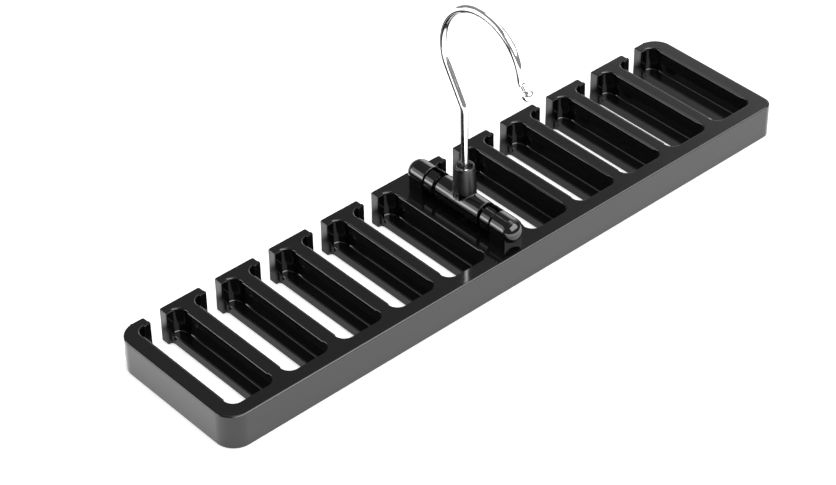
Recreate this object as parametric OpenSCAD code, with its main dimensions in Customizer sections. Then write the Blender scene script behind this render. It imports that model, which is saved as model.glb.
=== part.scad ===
// Belt hanger: a one-piece moulded comb with ten hanging slots, and a wire hook
// that swivels in a yoke. The yoke folds flat on a pivot along the comb's depth.
// The origin lies on the comb's underside, straight below the swivel axis.
// X runs along the comb, +Y from the spine to the open mouths, +Z up.

/* [Comb] */
// Overall length of the comb
comb_len = 305; // [290:1:330]
// Overall depth of the comb, from the spine's face to the tips of the heads
comb_depth = 72; // [70:1:84]
// Height of the comb
comb_h = 16.2; // [14:0.2:22]
// Width of the spine that joins all fingers
spine_w = 7; // [5:0.5:9]
// Width of the frame bar at each end
end_bar_w = 7; // [5:0.5:9]
// Width of a finger's stem
finger_w = 5.6; // [4:0.2:7]
// Width of the centre finger, which carries the pivot posts
centre_w = 24.2; // [20:0.2:28]
// Thickness of the heads that close the slots, measured along Y
head_t = 4.4; // [3:0.2:6]
// Width of the mouth through which a belt enters its slot
mouth_w = 7.5; // [5:0.5:9]
// Radius of a slot's upright corners
slot_r = 4.5; // [2:0.5:6]
// Radius of the comb's upright outer corners
corner_r = 9; // [6:0.5:12]
// Rounding along the top outer edge
top_round = 0.8; // [0.4:0.1:1.5]
// Rounding along the bottom outer edge
foot_round = 0.4; // [0.2:0.1:0.8]

/* [Slot walls] */
// Width of the ledge that runs along the foot of each slot wall
ledge_w = 5.2; // [3:0.2:5.6]
// Height of that ledge above the underside
ledge_h = 4.7; // [3:0.1:7]
// Reach of the rim bead that runs along the top of each slot wall
rim_out = 0.5; // [0.3:0.05:0.55]
// Height of the rim bead
rim_h = 1.3; // [1.2:0.1:2]
// Distance from the rim bead's ends to the slot's ends
rim_setback = 5; // [4:0.5:9]
// Width of the bead on the inner side of each lip
lip_bead_w = 3.4; // [2:0.2:4]
// How far that bead stands out of the lip
lip_bead_out = 0.8; // [0.4:0.1:1.2]

/* [Pivot] */
// Distance from the spine's face to the swivel axis
axis_y = 34.6; // [33:0.2:38]
// Height of the fold axis above the comb's top face
fold_h = 6.5; // [6.2:0.1:8]
// Diameter of the pivot barrel, the posts and the collars
barrel_d = 11; // [10.4:0.1:11.6]
// Length of the yoke's barrel
yoke_len = 25.4; // [23:0.2:27]
// Gap between the yoke and a collar
yoke_gap = 1.3; // [0.6:0.1:1.6]
// Length of a friction collar
collar_len = 5.9; // [4:0.1:7]
// Gap between a collar and its post
collar_gap = 0.4; // [0.2:0.1:0.8]
// Width of the slit along a collar
slit_w = 2.8; // [1.5:0.1:3.5]
// Turn of the slit from straight up, towards +X
slit_turn = 12; // [-30:1:30]
// Length of a pivot post along the fold axis, up to the tip of its domed end
post_len = 11.8; // [11:0.1:14]
// Length of the post's stem, which stands under it and ends in a flat face
stem_len = 8.8; // [7:0.1:9.8]
// How far the stem's sides stand back from the barrel's
stem_inset = 0.2; // [0.1:0.05:0.6]
// Diameter of a pivot pin
pin_d = 4; // [3:0.1:5]
// Length of the pin that runs inside the yoke
pin_grip = 5.4; // [3.5:0.1:6]
// Length of the pin that sits in a post
pin_seat = 6; // [4:0.1:8]

/* [Hook] */
// Diameter of the hook's wire
wire_d = 3.2; // [2.6:0.1:3.6]
// Radius of the hook's round, at the wire's centre
hook_r = 22.5; // [18:0.5:25]
// Height of the round's centre above the fold axis
hook_rise = 73.9; // [70:0.1:84]
// Distance of the round's centre from the swivel axis, towards the spine
hook_offset = 10.1; // [6:0.1:12]
// Height of the bend above the fold axis
bend_rise = 46.5; // [42:0.1:48]
// Radius of that bend, at the wire's centre
bend_r = 6; // [4:0.5:12]
// How far before its side the round ends
round_stop = 9; // [0:1:20]
// Length of the straight stretch between the round and the flare
tip_len = 0.8; // [0.6:0.1:4]
// Angle by which the end of the hook flares out
flare = 31; // [10:1:50]
// Length of the narrow neck before the ball
neck_len = 2; // [1:0.1:4]
// Diameter of the ball on the hook's end
ball_d = 5; // [4.2:0.1:6]

/* [Swivel] */
// Height of the boss's rim above the fold axis
boss_rise = 18; // [16:0.1:22]
// Diameter of the boss at its rim
boss_rim_d = 8.5; // [8:0.1:9.5]
// Diameter of the boss where it leaves the barrel
boss_foot_d = 10; // [9:0.1:10.2]
// Diameter of the recess in the boss's rim
recess_d = 6.2; // [5.8:0.1:6.8]
// Depth of that recess
recess_depth = 1.5; // [1:0.1:3]
// Diameter of the swaged stop ring on the wire, inside the recess
stop_d = 4.8; // [4.4:0.1:5.2]
// Diameter of the retaining washer inside the barrel
washer_d = 6.6; // [5.8:0.1:6.8]
// Thickness of that washer
washer_t = 0.8; // [0.5:0.1:1.2]

/* [Fits] */
// Radial clearance of a part on its pin or in its bore
turn_clear = 0.05; // [0.02:0.01:0.1]
// Clearance between parts that turn past each other face to face
face_clear = 0.15; // [0.1:0.05:0.3]

/* [Hidden] */
$fn = 48;
plastic = "#26272a";
chrome = "#d9dde0";
zinc = "#9a9da1";
// Overshoot of a cutting tool past the face that it cuts
over = 1;

// The spine and the slots
slots_per_side = 5;
y_spine = -axis_y;
y_root = y_spine + spine_w;
y_tip = y_spine + comb_depth;
y_head = y_tip - head_t;
half_len = comb_len / 2;
side_len = half_len - end_bar_w - centre_w / 2;
slot_w = (side_len - (slots_per_side - 1) * finger_w) / slots_per_side;
pitch = slot_w + finger_w;
foot_gap = slot_w - 2 * ledge_w;
// The ledge's corner runs out at the mouth
ledge_r = min(slot_r, max(0.2, (foot_gap - mouth_w) / 2));

// Centre of a slot by its side, -1 or 1, and its place from the middle outwards
function slot_x(side, place) = side * (centre_w / 2 + slot_w / 2 + place * pitch);
// Centre of the slot on the left of finger n, with the fingers counted from the left
function left_slot_x(n) = n < slots_per_side
    ? slot_x(-1, slots_per_side - n)
    : slot_x(1, n - slots_per_side);

// The fold pivot, as distances from the swivel axis
z_fold = comb_h + fold_h;
barrel_r = barrel_d / 2;
barrel_round = 0.3;
// Diameter of the small flat at the tip of a post's dome
tip_flat = 0.8;
dome_r = barrel_r - tip_flat / 2;
yoke_end = yoke_len / 2;
collar_start = yoke_end + yoke_gap;
post_start = collar_start + collar_len + collar_gap;
post_end = post_start + post_len;
pin_start = yoke_end - pin_grip;
bore_d = pin_d + 2 * turn_clear;

// The swivel, as heights above the fold axis
boss_foot_rise = barrel_r + 3;
recess_floor = boss_rise - recess_depth;
stop_h = 1.1;
cavity_top = -1.4;
cavity_d = washer_d + 2 * face_clear;
washer_top = cavity_top - face_clear;
rivet_top = washer_top - washer_t;
rivet_h = 1;
rivet_d = wire_d + 1.6;

// The hook in its own plane, as [distance from the swivel axis, height above the fold axis]
round_centre = [-hook_offset, hook_rise];
leg_rise = hook_rise - bend_rise;
// Slant from upright of the leg that runs from the bend to touch the round
leg_slant = asin(hook_r / norm([hook_offset, leg_rise])) - atan(hook_offset / leg_rise);
bend_len = bend_r * tan(leg_slant / 2);
bend_centre = [bend_r, bend_rise - bend_len];
leg_foot = bend_centre + bend_r * [-cos(leg_slant), sin(leg_slant)];
leg_top = round_centre + hook_r * [cos(leg_slant), -sin(leg_slant)];
round_end = 180 - round_stop;
round_edge = round_centre + hook_r * [cos(round_end), sin(round_end)];
flare_r = wire_d * 1.2;
flare_edge = round_edge + tip_len * [sin(-round_stop), -cos(-round_stop)];
flare_centre = flare_edge + flare_r * [cos(round_end), sin(round_end)];
flare_end = -round_stop - flare;
neck_start = flare_centre + flare_r * [cos(flare_end), sin(flare_end)];
neck_dir = [sin(flare_end), -cos(flare_end)];
neck_d = wire_d * 0.72;
// A bend is thinner than the straight wire by this much, and laps into it by this much
bend_thinning = 0.02;
bend_lap = 0.2;
ball_socket = ball_d * 0.4;
ball_centre = neck_start + (neck_len + ball_d / 2) * neck_dir;
neck_end = neck_start + (neck_len + ball_socket) * neck_dir;

// What rounding a corner at the origin by radius r takes away
module corner_waste(r) difference() {
    translate([-over, -over]) square(r + over);
    translate([r, r]) circle(r);
}

// Upright section through the comb, with its top and bottom edges rounded
module plate_section(len) difference() {
    square([len, comb_h]);
    for (end = [0, 1]) translate([end * len, 0]) mirror([end, 0]) {
        corner_waste(foot_round);
        translate([0, comb_h]) mirror([0, 1]) corner_waste(top_round);
    }
}

// Plate along X between two places, with the section of the comb
module plate_along_x(x0, x1)
    translate([x0, y_spine, 0]) rotate([90, 0, 90]) linear_extrude(x1 - x0) plate_section(comb_depth);

// Whole plate inside the comb's outer faces
module plate() {
    plate_along_x(corner_r - half_len, half_len - corner_r);
    translate([-half_len, y_tip - corner_r, 0]) rotate([90, 0, 0])
        linear_extrude(comb_depth - 2 * corner_r) plate_section(comb_len);
    for (x = [-1, 1] * (half_len - corner_r), y = [y_spine + corner_r, y_tip - corner_r])
        translate([x, y, 0]) rotate_extrude() intersection() {
            translate([-corner_r, 0]) plate_section(2 * corner_r);
            square([corner_r, comb_h]);
        }
}

// Block between two pairs of faces, over the comb's whole height
module region(x0, x1, y0, y1)
    translate([x0, y0, -over]) cube([x1 - x0, y1 - y0, comb_h + 2 * over]);

// Upright prism over a rectangle with round corners, centred on x = 0
module round_block(w, y0, y1, r, z0, z1) translate([0, 0, z0]) {
    translate([-w / 2, y0 + r, 0]) cube([w, y1 - y0 - 2 * r, z1 - z0]);
    translate([-w / 2 + r, y0, 0]) cube([w - 2 * r, y1 - y0, z1 - z0]);
    for (x = [r - w / 2, w / 2 - r], y = [y0 + r, y1 - r])
        translate([x, y, 0]) cylinder(r = r, h = z1 - z0);
}

// Space of one slot: the wide well, the gap between its ledges and the mouth
module slot_space() {
    round_block(slot_w, y_root, y_head, slot_r, ledge_h, comb_h + over);
    round_block(foot_gap, y_root, y_head, ledge_r, -over, comb_h);
    region(-mouth_w / 2, mouth_w / 2, y_head - ledge_r, y_tip + over);
}

// Rim bead and lip bead of a slot's wall on one side, -1 or 1
module wall_trim(side) mirror([side < 0 ? 1 : 0, 0, 0]) {
    translate([slot_w / 2 + rim_h / 2 - rim_out, y_root + rim_setback, comb_h - rim_h / 2])
        rotate([-90, 0, 0]) cylinder(d = rim_h, h = y_head - y_root - 2 * rim_setback);
    translate([mouth_w / 2, y_head - lip_bead_out, 0])
        cube([lip_bead_w - lip_bead_out, lip_bead_out + head_t / 2, comb_h]);
    translate([mouth_w / 2 + lip_bead_w - lip_bead_out, y_head, 0])
        cylinder(r = lip_bead_out, h = comb_h);
}

// Finger between the slots centred at x_left and x_right
module finger_between(x_left, x_right) color(plastic) {
    difference() {
        intersection() {
            plate_along_x(x_left, x_right);
            region(x_left - over, x_right + over, y_root, y_tip + over);
        }
        translate([x_left, 0, 0]) slot_space();
        translate([x_right, 0, 0]) slot_space();
    }
    translate([x_left, 0, 0]) wall_trim(1);
    translate([x_right, 0, 0]) wall_trim(-1);
}

module belt_finger(n) finger_between(left_slot_x(n), left_slot_x(n) + pitch);

module centre_finger() finger_between(slot_x(-1, 0), slot_x(1, 0));

module spine_rail() color(plastic) intersection() {
    plate();
    region(-half_len - over, half_len + over, y_spine - over, y_root);
}

// Frame at the end of the comb on one side, -1 or 1
module end_frame(side) color(plastic) mirror([side < 0 ? 1 : 0, 0, 0]) {
    difference() {
        intersection() {
            plate();
            region(slot_x(1, slots_per_side - 1), half_len + over, y_root, y_tip + over);
        }
        translate([slot_x(1, slots_per_side - 1), 0, 0]) slot_space();
    }
    translate([slot_x(1, slots_per_side - 1), 0, 0]) wall_trim(1);
}

// Cylinder on the fold axis between two places along Y
module on_fold_axis(d, y0, y1)
    translate([0, y0, z_fold]) rotate([-90, 0, 0]) cylinder(d = d, h = y1 - y0);

// Lengthwise section through a bar of radius r, with one rounding at its start and one at its end
module bar_section(r, len, start_round, end_round) difference() {
    translate([-r, 0]) square([2 * r, len]);
    for (side = [0, 1]) mirror([side, 0]) translate([-r, 0]) {
        corner_waste(start_round);
        translate([0, len]) mirror([0, 1]) corner_waste(end_round);
    }
}

// Barrel on the fold axis with rounded ends
module barrel(y0, y1, end_round = barrel_round)
    translate([0, y0, z_fold]) rotate([-90, 0, 0]) rotate_extrude() intersection() {
        bar_section(barrel_r, y1 - y0, barrel_round, end_round);
        square([barrel_r, y1 - y0]);
    }

// Draws the back piece of the pivot, or its mirror image at the front
module at_end(side) mirror([0, side < 0 ? 1 : 0, 0]) children();

// Stem that stands under a post: the outline that the post has from above, set back and cut flat
module post_stem() translate([0, post_start + barrel_round, comb_h]) linear_extrude(fold_h) intersection() {
    bar_section(barrel_r - stem_inset, post_len - barrel_round - stem_inset,
                barrel_round, dome_r - stem_inset);
    translate([-barrel_r, 0]) square([barrel_d, stem_len - barrel_round]);
}

module pivot_post(side) color(plastic) at_end(side) difference() {
    union() {
        barrel(post_start, post_end, dome_r);
        post_stem();
    }
    on_fold_axis(bore_d, post_start - over, post_start + pin_seat + face_clear);
}

module pivot_pin(side) color(plastic) at_end(side) on_fold_axis(pin_d, pin_start, post_start + pin_seat);

module friction_collar(side) color(plastic) at_end(side) difference() {
    barrel(collar_start, collar_start + collar_len);
    on_fold_axis(bore_d, collar_start - over, collar_start + collar_len + over);
    translate([0, collar_start - over, z_fold]) rotate([0, slit_turn, 0])
        translate([-slit_w / 2, 0, 0]) cube([slit_w, collar_len + 2 * over, barrel_r + over]);
}

// Round boss on the yoke, with the recess in its rim
module boss() rotate_extrude() polygon([
    [0, 0],
    [boss_foot_d / 2, 0],
    [boss_foot_d / 2, boss_foot_rise],
    [boss_rim_d / 2, boss_rise],
    [recess_d / 2, boss_rise],
    [recess_d / 2 - recess_depth / 4, recess_floor],
    [0, recess_floor]
]);

module swivel_yoke() color(plastic) difference() {
    union() {
        barrel(-yoke_end, yoke_end);
        translate([0, 0, z_fold]) boss();
    }
    for (side = [-1, 1]) at_end(side)
        on_fold_axis(bore_d, pin_start - 2 * face_clear, yoke_end + over);
    translate([0, 0, z_fold + cavity_top - over])
        cylinder(d = wire_d + 2 * turn_clear, h = recess_floor - cavity_top + 2 * over);
    translate([0, 0, z_fold - barrel_r - over])
        cylinder(d = cavity_d, h = cavity_top + barrel_r + over);
}

// Turns a shape that is drawn flat into the hook's upright plane
module in_hook_plane() translate([0, 0, z_fold]) rotate([90, 0, 90]) children();

module wire_line(from, to, d) translate(from)
    rotate([0, 0, atan2(to[1] - from[1], to[0] - from[0])])
        rotate([0, 90, 0]) cylinder(d = d, h = norm(to - from));

module wire_bend(centre, r, start, sweep) {
    lap = bend_lap / r * 180 / PI;
    translate(centre) rotate([0, 0, start - lap])
        rotate_extrude(angle = sweep + 2 * lap) translate([r, 0]) circle(d = wire_d - bend_thinning);
}

module hook_wire() color(chrome) {
    in_hook_plane() {
        wire_line([0, rivet_top - rivet_h / 2], [0, bend_centre[1]], wire_d);
        wire_bend(bend_centre, bend_r, 180 - leg_slant, leg_slant);
        wire_line(leg_foot, leg_top, wire_d);
        wire_bend(round_centre, hook_r, -leg_slant, round_end + leg_slant);
        wire_line(round_edge, flare_edge, wire_d);
        wire_bend(flare_centre, flare_r, flare_end, flare);
        wire_line(neck_start, neck_end, neck_d);
    }
    translate([0, 0, z_fold + rivet_top - rivet_h]) cylinder(d = rivet_d, h = rivet_h);
    translate([0, 0, z_fold + recess_floor + face_clear]) cylinder(d1 = stop_d, d2 = wire_d, h = stop_h);
}

module hook_retaining_washer() color(zinc) translate([0, 0, z_fold + rivet_top]) difference() {
    cylinder(d = washer_d, h = washer_t);
    translate([0, 0, -over]) cylinder(d = wire_d + 2 * turn_clear, h = washer_t + 2 * over);
}

module hook_tip_ball() color(chrome) in_hook_plane() difference() {
    translate(ball_centre) sphere(d = ball_d);
    wire_line(neck_start, neck_end + turn_clear * neck_dir, neck_d + 2 * turn_clear);
}

spine_rail();
end_frame(-1);  // end_frame_left
end_frame(1);  // end_frame_right
centre_finger();
belt_finger(1);  // belt_finger_1
belt_finger(2);  // belt_finger_2
belt_finger(3);  // belt_finger_3
belt_finger(4);  // belt_finger_4
belt_finger(5);  // belt_finger_5
belt_finger(6);  // belt_finger_6
belt_finger(7);  // belt_finger_7
belt_finger(8);  // belt_finger_8
pivot_post(-1);  // pivot_post_front
pivot_post(1);  // pivot_post_back
pivot_pin(-1);  // pivot_pin_front
pivot_pin(1);  // pivot_pin_back
friction_collar(-1);  // friction_collar_front
friction_collar(1);  // friction_collar_back
swivel_yoke();
hook_wire();
hook_retaining_washer();
hook_tip_ball();
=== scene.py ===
"""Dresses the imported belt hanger: its moulded comb, its fold pivot and its swivelling wire hook."""

from __future__ import annotations

import logging
import math
from collections.abc import Callable, Iterable
from dataclasses import dataclass, field
from enum import Enum

import bmesh
import bpy
from mathutils import Euler, Matrix, Vector


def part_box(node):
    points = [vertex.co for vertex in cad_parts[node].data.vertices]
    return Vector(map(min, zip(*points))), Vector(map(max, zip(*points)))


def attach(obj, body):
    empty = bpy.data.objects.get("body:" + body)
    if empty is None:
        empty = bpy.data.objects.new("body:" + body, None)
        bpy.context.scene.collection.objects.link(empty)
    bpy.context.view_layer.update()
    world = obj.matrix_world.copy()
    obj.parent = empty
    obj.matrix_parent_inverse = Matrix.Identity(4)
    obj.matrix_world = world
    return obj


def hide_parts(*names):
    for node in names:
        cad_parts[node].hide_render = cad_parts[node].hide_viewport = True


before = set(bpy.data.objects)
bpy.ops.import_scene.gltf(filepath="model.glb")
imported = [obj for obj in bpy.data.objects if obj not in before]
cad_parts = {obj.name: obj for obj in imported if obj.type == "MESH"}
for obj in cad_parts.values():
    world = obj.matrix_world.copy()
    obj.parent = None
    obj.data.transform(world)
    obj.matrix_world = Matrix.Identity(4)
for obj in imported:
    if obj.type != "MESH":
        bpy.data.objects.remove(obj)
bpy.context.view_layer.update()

LOG = logging.getLogger("belt_hanger")
MM = 0.001
PHOTO_WIDTH = 836
SAME = 1e-4
CLOSE = 1e-3
NEAR = 0.01


class Body(Enum):
    """Moving bodies of the hanger."""

    COMB = "comb"
    YOKE = "yoke"
    HOOK = "hook"


class Slot(Enum):
    """Material slots of the record."""

    PLASTIC = "black_plastic"
    CHROME = "hook_chrome"
    ZINC = "zinc_steel"


class Join(Enum):
    """Ways to combine two closed shapes."""

    CUT = "DIFFERENCE"
    FUSE = "UNION"


def node_box(node: str) -> tuple[Vector, Vector]:
    """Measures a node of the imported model.

    Args:
        node: Name of the node.

    Returns:
        Its lowest and highest corners in millimetres.
    """
    low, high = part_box(node)
    return low / MM, high / MM


class Workbench:
    """Modelling tools. They work in millimetres until a piece is finished."""

    square_angle: float = math.radians(60)
    smooth_angle: float = math.radians(50)
    flat_weight: int = 80
    merge_reach: float = 0.002
    merge_turned: float = 0.001

    def clear(self) -> None:
        """Leaves edit mode and deselects everything."""
        if bpy.context.mode != "OBJECT":
            bpy.ops.object.mode_set(mode="OBJECT")
        bpy.ops.object.select_all(action="DESELECT")

    def take(self, *pieces: bpy.types.Object) -> None:
        """Selects pieces alone and makes the first one active.

        Args:
            pieces: The objects to work on.
        """
        self.clear()
        for piece in pieces:
            piece.select_set(True)
        bpy.context.view_layer.objects.active = pieces[0]

    def edit(self, piece: bpy.types.Object, element: str) -> bmesh.types.BMesh:
        """Opens a piece in edit mode with nothing selected.

        Args:
            piece: The object to edit.
            element: VERT, EDGE or FACE.

        Returns:
            The piece's edit mesh.
        """
        self.take(piece)
        bpy.ops.object.mode_set(mode="EDIT")
        bpy.ops.mesh.select_mode(type=element)
        bpy.ops.mesh.select_all(action="DESELECT")
        return bmesh.from_edit_mesh(piece.data)

    def pick_edges(self, piece: bpy.types.Object, wanted: Callable[[bmesh.types.BMEdge], bool]) -> None:
        """Selects the edges that a test names, in edit mode.

        Args:
            piece: The object to edit.
            wanted: Tells whether an edge is selected.
        """
        cage = self.edit(piece, "EDGE")
        for edge in cage.edges:
            edge.select_set(wanted(edge))
        bmesh.update_edit_mesh(piece.data)

    def edit_all(self, piece: bpy.types.Object, element: str) -> None:
        """Opens a piece in edit mode with everything selected.

        Args:
            piece: The object to edit.
            element: VERT, EDGE or FACE.
        """
        self.edit(piece, element)
        bpy.ops.mesh.select_all(action="SELECT")

    def settle(self) -> None:
        """Brings the place, turn and size of what is selected into its mesh."""
        bpy.ops.object.transform_apply(location=True, rotation=True, scale=True)

    def modify(self, piece: bpy.types.Object, kind: str, **settings: object) -> None:
        """Adds a modifier to a piece and applies it.

        Args:
            piece: The object to change.
            kind: The modifier's type.
            **settings: Its options.
        """
        self.take(piece)
        bpy.ops.object.modifier_add(type=kind)
        modifier = piece.modifiers[-1]
        for option, choice in settings.items():
            setattr(modifier, option, choice)
        bpy.ops.object.modifier_apply(modifier=modifier.name)

    def block(self, name: str, low: Iterable[float], high: Iterable[float]) -> bpy.types.Object:
        """Adds a block between two corners.

        Args:
            name: Name of the new object.
            low: Its lowest corner.
            high: Its highest corner.

        Returns:
            The block.
        """
        self.clear()
        a, b = Vector(low), Vector(high)
        bpy.ops.mesh.primitive_cube_add(size=1, location=(a + b) / 2, scale=b - a)
        piece = bpy.context.object
        piece.name = name
        self.settle()
        return piece

    def round_edges(self, piece: bpy.types.Object, wanted: Callable[[bmesh.types.BMEdge], bool],
                    radius: float, segments: int) -> None:
        """Rounds the edges that a test names.

        Args:
            piece: The object to shape.
            wanted: Tells whether an edge is rounded.
            radius: Radius of the rounding.
            segments: Number of faces across it.
        """
        self.pick_edges(piece, wanted)
        bpy.ops.mesh.bevel(offset_type="OFFSET", offset=radius, segments=segments, affect="EDGES",
                           clamp_overlap=False)
        self.clear()

    def round_upright(self, piece: bpy.types.Object, radius: float, segments: int,
                      wanted: Callable[[Vector], bool] = lambda middle: True) -> None:
        """Rounds upright edges of a block.

        Args:
            piece: The block.
            radius: Radius of its corners.
            segments: Number of faces across each.
            wanted: Tells from its middle whether an edge is rounded.
        """
        def upright(edge: bmesh.types.BMEdge) -> bool:
            """Tells whether an edge stands upright where it is wanted."""
            a, b = (v.co for v in edge.verts)
            return (a - b).xy.length < SAME and wanted((a + b) / 2)

        self.round_edges(piece, upright, radius, segments)

    def round_level(self, piece: bpy.types.Object, level: float, radius: float, segments: int,
                    share: Callable[[Vector], float] = lambda middle: 1) -> None:
        """Rounds the corners that run round a piece at one height.

        Args:
            piece: The object to shape.
            level: Height of the corners.
            radius: Radius of the rounding.
            segments: Number of faces across it.
            share: Gives from its middle the share of the radius that a corner gets.
        """
        cage = self.edit(piece, "EDGE")
        weight = cage.edges.layers.float.get("bevel_weight_edge") or cage.edges.layers.float.new("bevel_weight_edge")
        for edge in cage.edges:
            a, b = (v.co for v in edge.verts)
            square = (abs(a.z - level) < CLOSE and abs(b.z - level) < CLOSE and len(edge.link_faces) == 2
                      and edge.calc_face_angle(0) > self.square_angle)
            edge[weight] = share((a + b) / 2) if square else 0
        bmesh.update_edit_mesh(piece.data)
        self.modify(piece, "BEVEL", limit_method="WEIGHT", width=radius, segments=segments, use_clamp_overlap=False)
        piece.data.attributes.remove(piece.data.attributes["bevel_weight_edge"])

    def turned(self, name: str, profile: Iterable[tuple[float, float]], foot: Iterable[float],
               along: Iterable[float], segments: int = 64) -> bpy.types.Object:
        """Turns a profile about an axis, as on a lathe.

        Args:
            name: Name of the new object.
            profile: Radius and distance along the axis of each point.
            foot: Point on the axis from which the distances count.
            along: Direction of the axis.
            segments: Number of faces round the axis.

        Returns:
            The turned shape.
        """
        points = [Vector((radius, 0, distance)) for radius, distance in profile]
        self.clear()
        bpy.ops.mesh.primitive_plane_add(size=1, location=points[0])
        piece = bpy.context.object
        piece.name = name
        self.settle()
        bpy.ops.object.mode_set(mode="EDIT")
        bpy.ops.mesh.select_mode(type="VERT")
        bpy.ops.mesh.select_all(action="SELECT")
        bpy.ops.mesh.merge(type="CENTER")
        for here, there in zip(points, points[1:]):
            bpy.ops.mesh.extrude_region_move(TRANSFORM_OT_translate={"value": there - here})
        bpy.ops.mesh.select_all(action="SELECT")
        bpy.ops.mesh.spin(steps=segments, angle=math.tau, center=(0, 0, 0), axis=(0, 0, 1))
        bpy.ops.mesh.select_all(action="SELECT")
        bpy.ops.mesh.remove_doubles(threshold=self.merge_turned)
        bpy.ops.mesh.normals_make_consistent(inside=False)
        self.clear()
        self.take(piece)
        piece.rotation_euler = Vector(along).to_track_quat("Z", "Y").to_euler()
        piece.location = Vector(foot)
        self.settle()
        return piece

    def rod(self, name: str, radius: float, start: float, end: float, foot: Iterable[float],
            along: Iterable[float]) -> bpy.types.Object:
        """Turns a plain rod, as a drill for a bore.

        Args:
            name: Name of the new object.
            radius: Its radius.
            start: Distance of its near end along the axis.
            end: Distance of its far end.
            foot: Point on the axis from which the distances count.
            along: Direction of the axis.

        Returns:
            The rod.
        """
        return self.turned(name, [(0, start), (radius, start), (radius, end), (0, end)], foot, along, 32)

    def combine(self, piece: bpy.types.Object, tool: bpy.types.Object, how: Join) -> None:
        """Cuts a closed shape out of a piece or fuses it on, and takes the shape away.

        Args:
            piece: The object that stays.
            tool: The shape that is used up.
            how: Whether it is cut out or fused on.
        """
        self.modify(piece, "BOOLEAN", operation=how.value, solver="EXACT", object=tool)
        bpy.data.objects.remove(tool)
        self.merge(piece)

    def merge(self, piece: bpy.types.Object) -> None:
        """Merges points that lie on each other, which takes away faces without area.

        Args:
            piece: The object to clean.
        """
        self.edit_all(piece, "VERT")
        bpy.ops.mesh.remove_doubles(threshold=self.merge_reach)
        self.clear()

    def copy(self, piece: bpy.types.Object, shift: Iterable[float]) -> bpy.types.Object:
        """Copies a piece with a mesh of its own.

        Args:
            piece: The object to copy.
            shift: How far the copy is moved.

        Returns:
            The copy.
        """
        self.take(piece)
        bpy.ops.object.duplicate(linked=False)
        twin = bpy.context.object
        twin.location = Vector(shift)
        self.settle()
        return twin

    def mirrored(self, piece: bpy.types.Object, name: str,
                 flip: tuple[float, float, float] = (1, -1, 1)) -> bpy.types.Object:
        """Copies a piece to the other side of the frame.

        Args:
            piece: The object to copy.
            name: Name of the copy.
            flip: -1 for the axis that is turned round, and 1 for the others.

        Returns:
            The copy.
        """
        twin = self.copy(piece, (0, 0, 0))
        twin.name = name
        twin.scale = flip
        self.settle()
        self.edit_all(twin, "FACE")
        bpy.ops.mesh.normals_make_consistent(inside=False)
        self.clear()
        return twin

    def join(self, pieces: list[bpy.types.Object]) -> bpy.types.Object:
        """Joins separate shapes into one object.

        Args:
            pieces: The shapes, the first of which keeps its name.

        Returns:
            The joined object.
        """
        self.take(*pieces)
        bpy.ops.object.join()
        return pieces[0]

    def soften(self, piece: bpy.types.Object, width: float, segments: int = 2, angle: float = 32) -> None:
        """Breaks the sharp edges that are left and smooths the shading.

        Args:
            piece: The object to finish.
            width: Width of the rounding.
            segments: Number of faces across it.
            angle: Angle in degrees above which an edge is sharp.
        """
        self.modify(piece, "BEVEL", limit_method="ANGLE", angle_limit=math.radians(angle), width=width,
                    segments=segments, use_clamp_overlap=True)
        self.merge(piece)
        self.shade(piece)

    def shade(self, piece: bpy.types.Object) -> None:
        """Smooths a piece's shading and keeps its flat faces flat.

        Args:
            piece: The object to shade.
        """
        self.take(piece)
        bpy.ops.object.shade_smooth_by_angle(angle=self.smooth_angle)
        self.modify(piece, "WEIGHTED_NORMAL", keep_sharp=True, weight=self.flat_weight)

    def hand_over(self, piece: bpy.types.Object, name: str, finish: bpy.types.Material, slot: Slot,
                  body: Body, *nodes: str) -> None:
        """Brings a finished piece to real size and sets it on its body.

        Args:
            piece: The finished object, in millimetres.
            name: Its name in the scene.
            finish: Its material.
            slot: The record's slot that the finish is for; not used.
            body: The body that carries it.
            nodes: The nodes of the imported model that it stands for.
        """
        self.take(piece)
        piece.name = name
        piece.data.name = name
        piece.scale = (MM, MM, MM)
        self.settle()
        piece.data.materials.clear()
        piece.data.materials.append(finish)
        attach(piece, body.value)
        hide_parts(*nodes)
        LOG.info("%s: %d faces for %s", name, len(piece.data.polygons), ", ".join(nodes))


class Signal:
    """A number on a material's socket that takes part in sums."""

    def __init__(self, shading: Shading, socket: bpy.types.NodeSocket) -> None:
        """Wraps a socket of a material that is being made.

        Args:
            shading: The material's nodes.
            socket: The socket that carries the number.
        """
        self.shading = shading
        self.socket = socket

    def _sum(self, operation: str, first: Signal | float, second: Signal | float) -> Signal:
        """Adds a Math node for two terms."""
        return self.shading.node("ShaderNodeMath", {"operation": operation}, {0: first, 1: second})

    def __add__(self, other: Signal | float) -> Signal:
        """Adds a term."""
        return self._sum("ADD", self, other)

    def __radd__(self, other: float) -> Signal:
        """Adds itself to a number."""
        return self._sum("ADD", other, self)

    def __sub__(self, other: Signal | float) -> Signal:
        """Takes a term away."""
        return self._sum("SUBTRACT", self, other)

    def __rsub__(self, other: float) -> Signal:
        """Takes itself away from a number."""
        return self._sum("SUBTRACT", other, self)

    def __mul__(self, other: Signal | float) -> Signal:
        """Multiplies by a term."""
        return self._sum("MULTIPLY", self, other)

    def __rmul__(self, other: float) -> Signal:
        """Multiplies a number by itself."""
        return self._sum("MULTIPLY", other, self)

    def __truediv__(self, other: Signal | float) -> Signal:
        """Divides by a term."""
        return self._sum("DIVIDE", self, other)

    def __rtruediv__(self, other: float) -> Signal:
        """Divides a number by itself."""
        return self._sum("DIVIDE", other, self)

    def __abs__(self) -> Signal:
        """Drops the sign."""
        return self._sum("ABSOLUTE", self, 0)

    def at_least(self, other: Signal | float) -> Signal:
        """Keeps the larger of two terms."""
        return self._sum("MAXIMUM", self, other)


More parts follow.
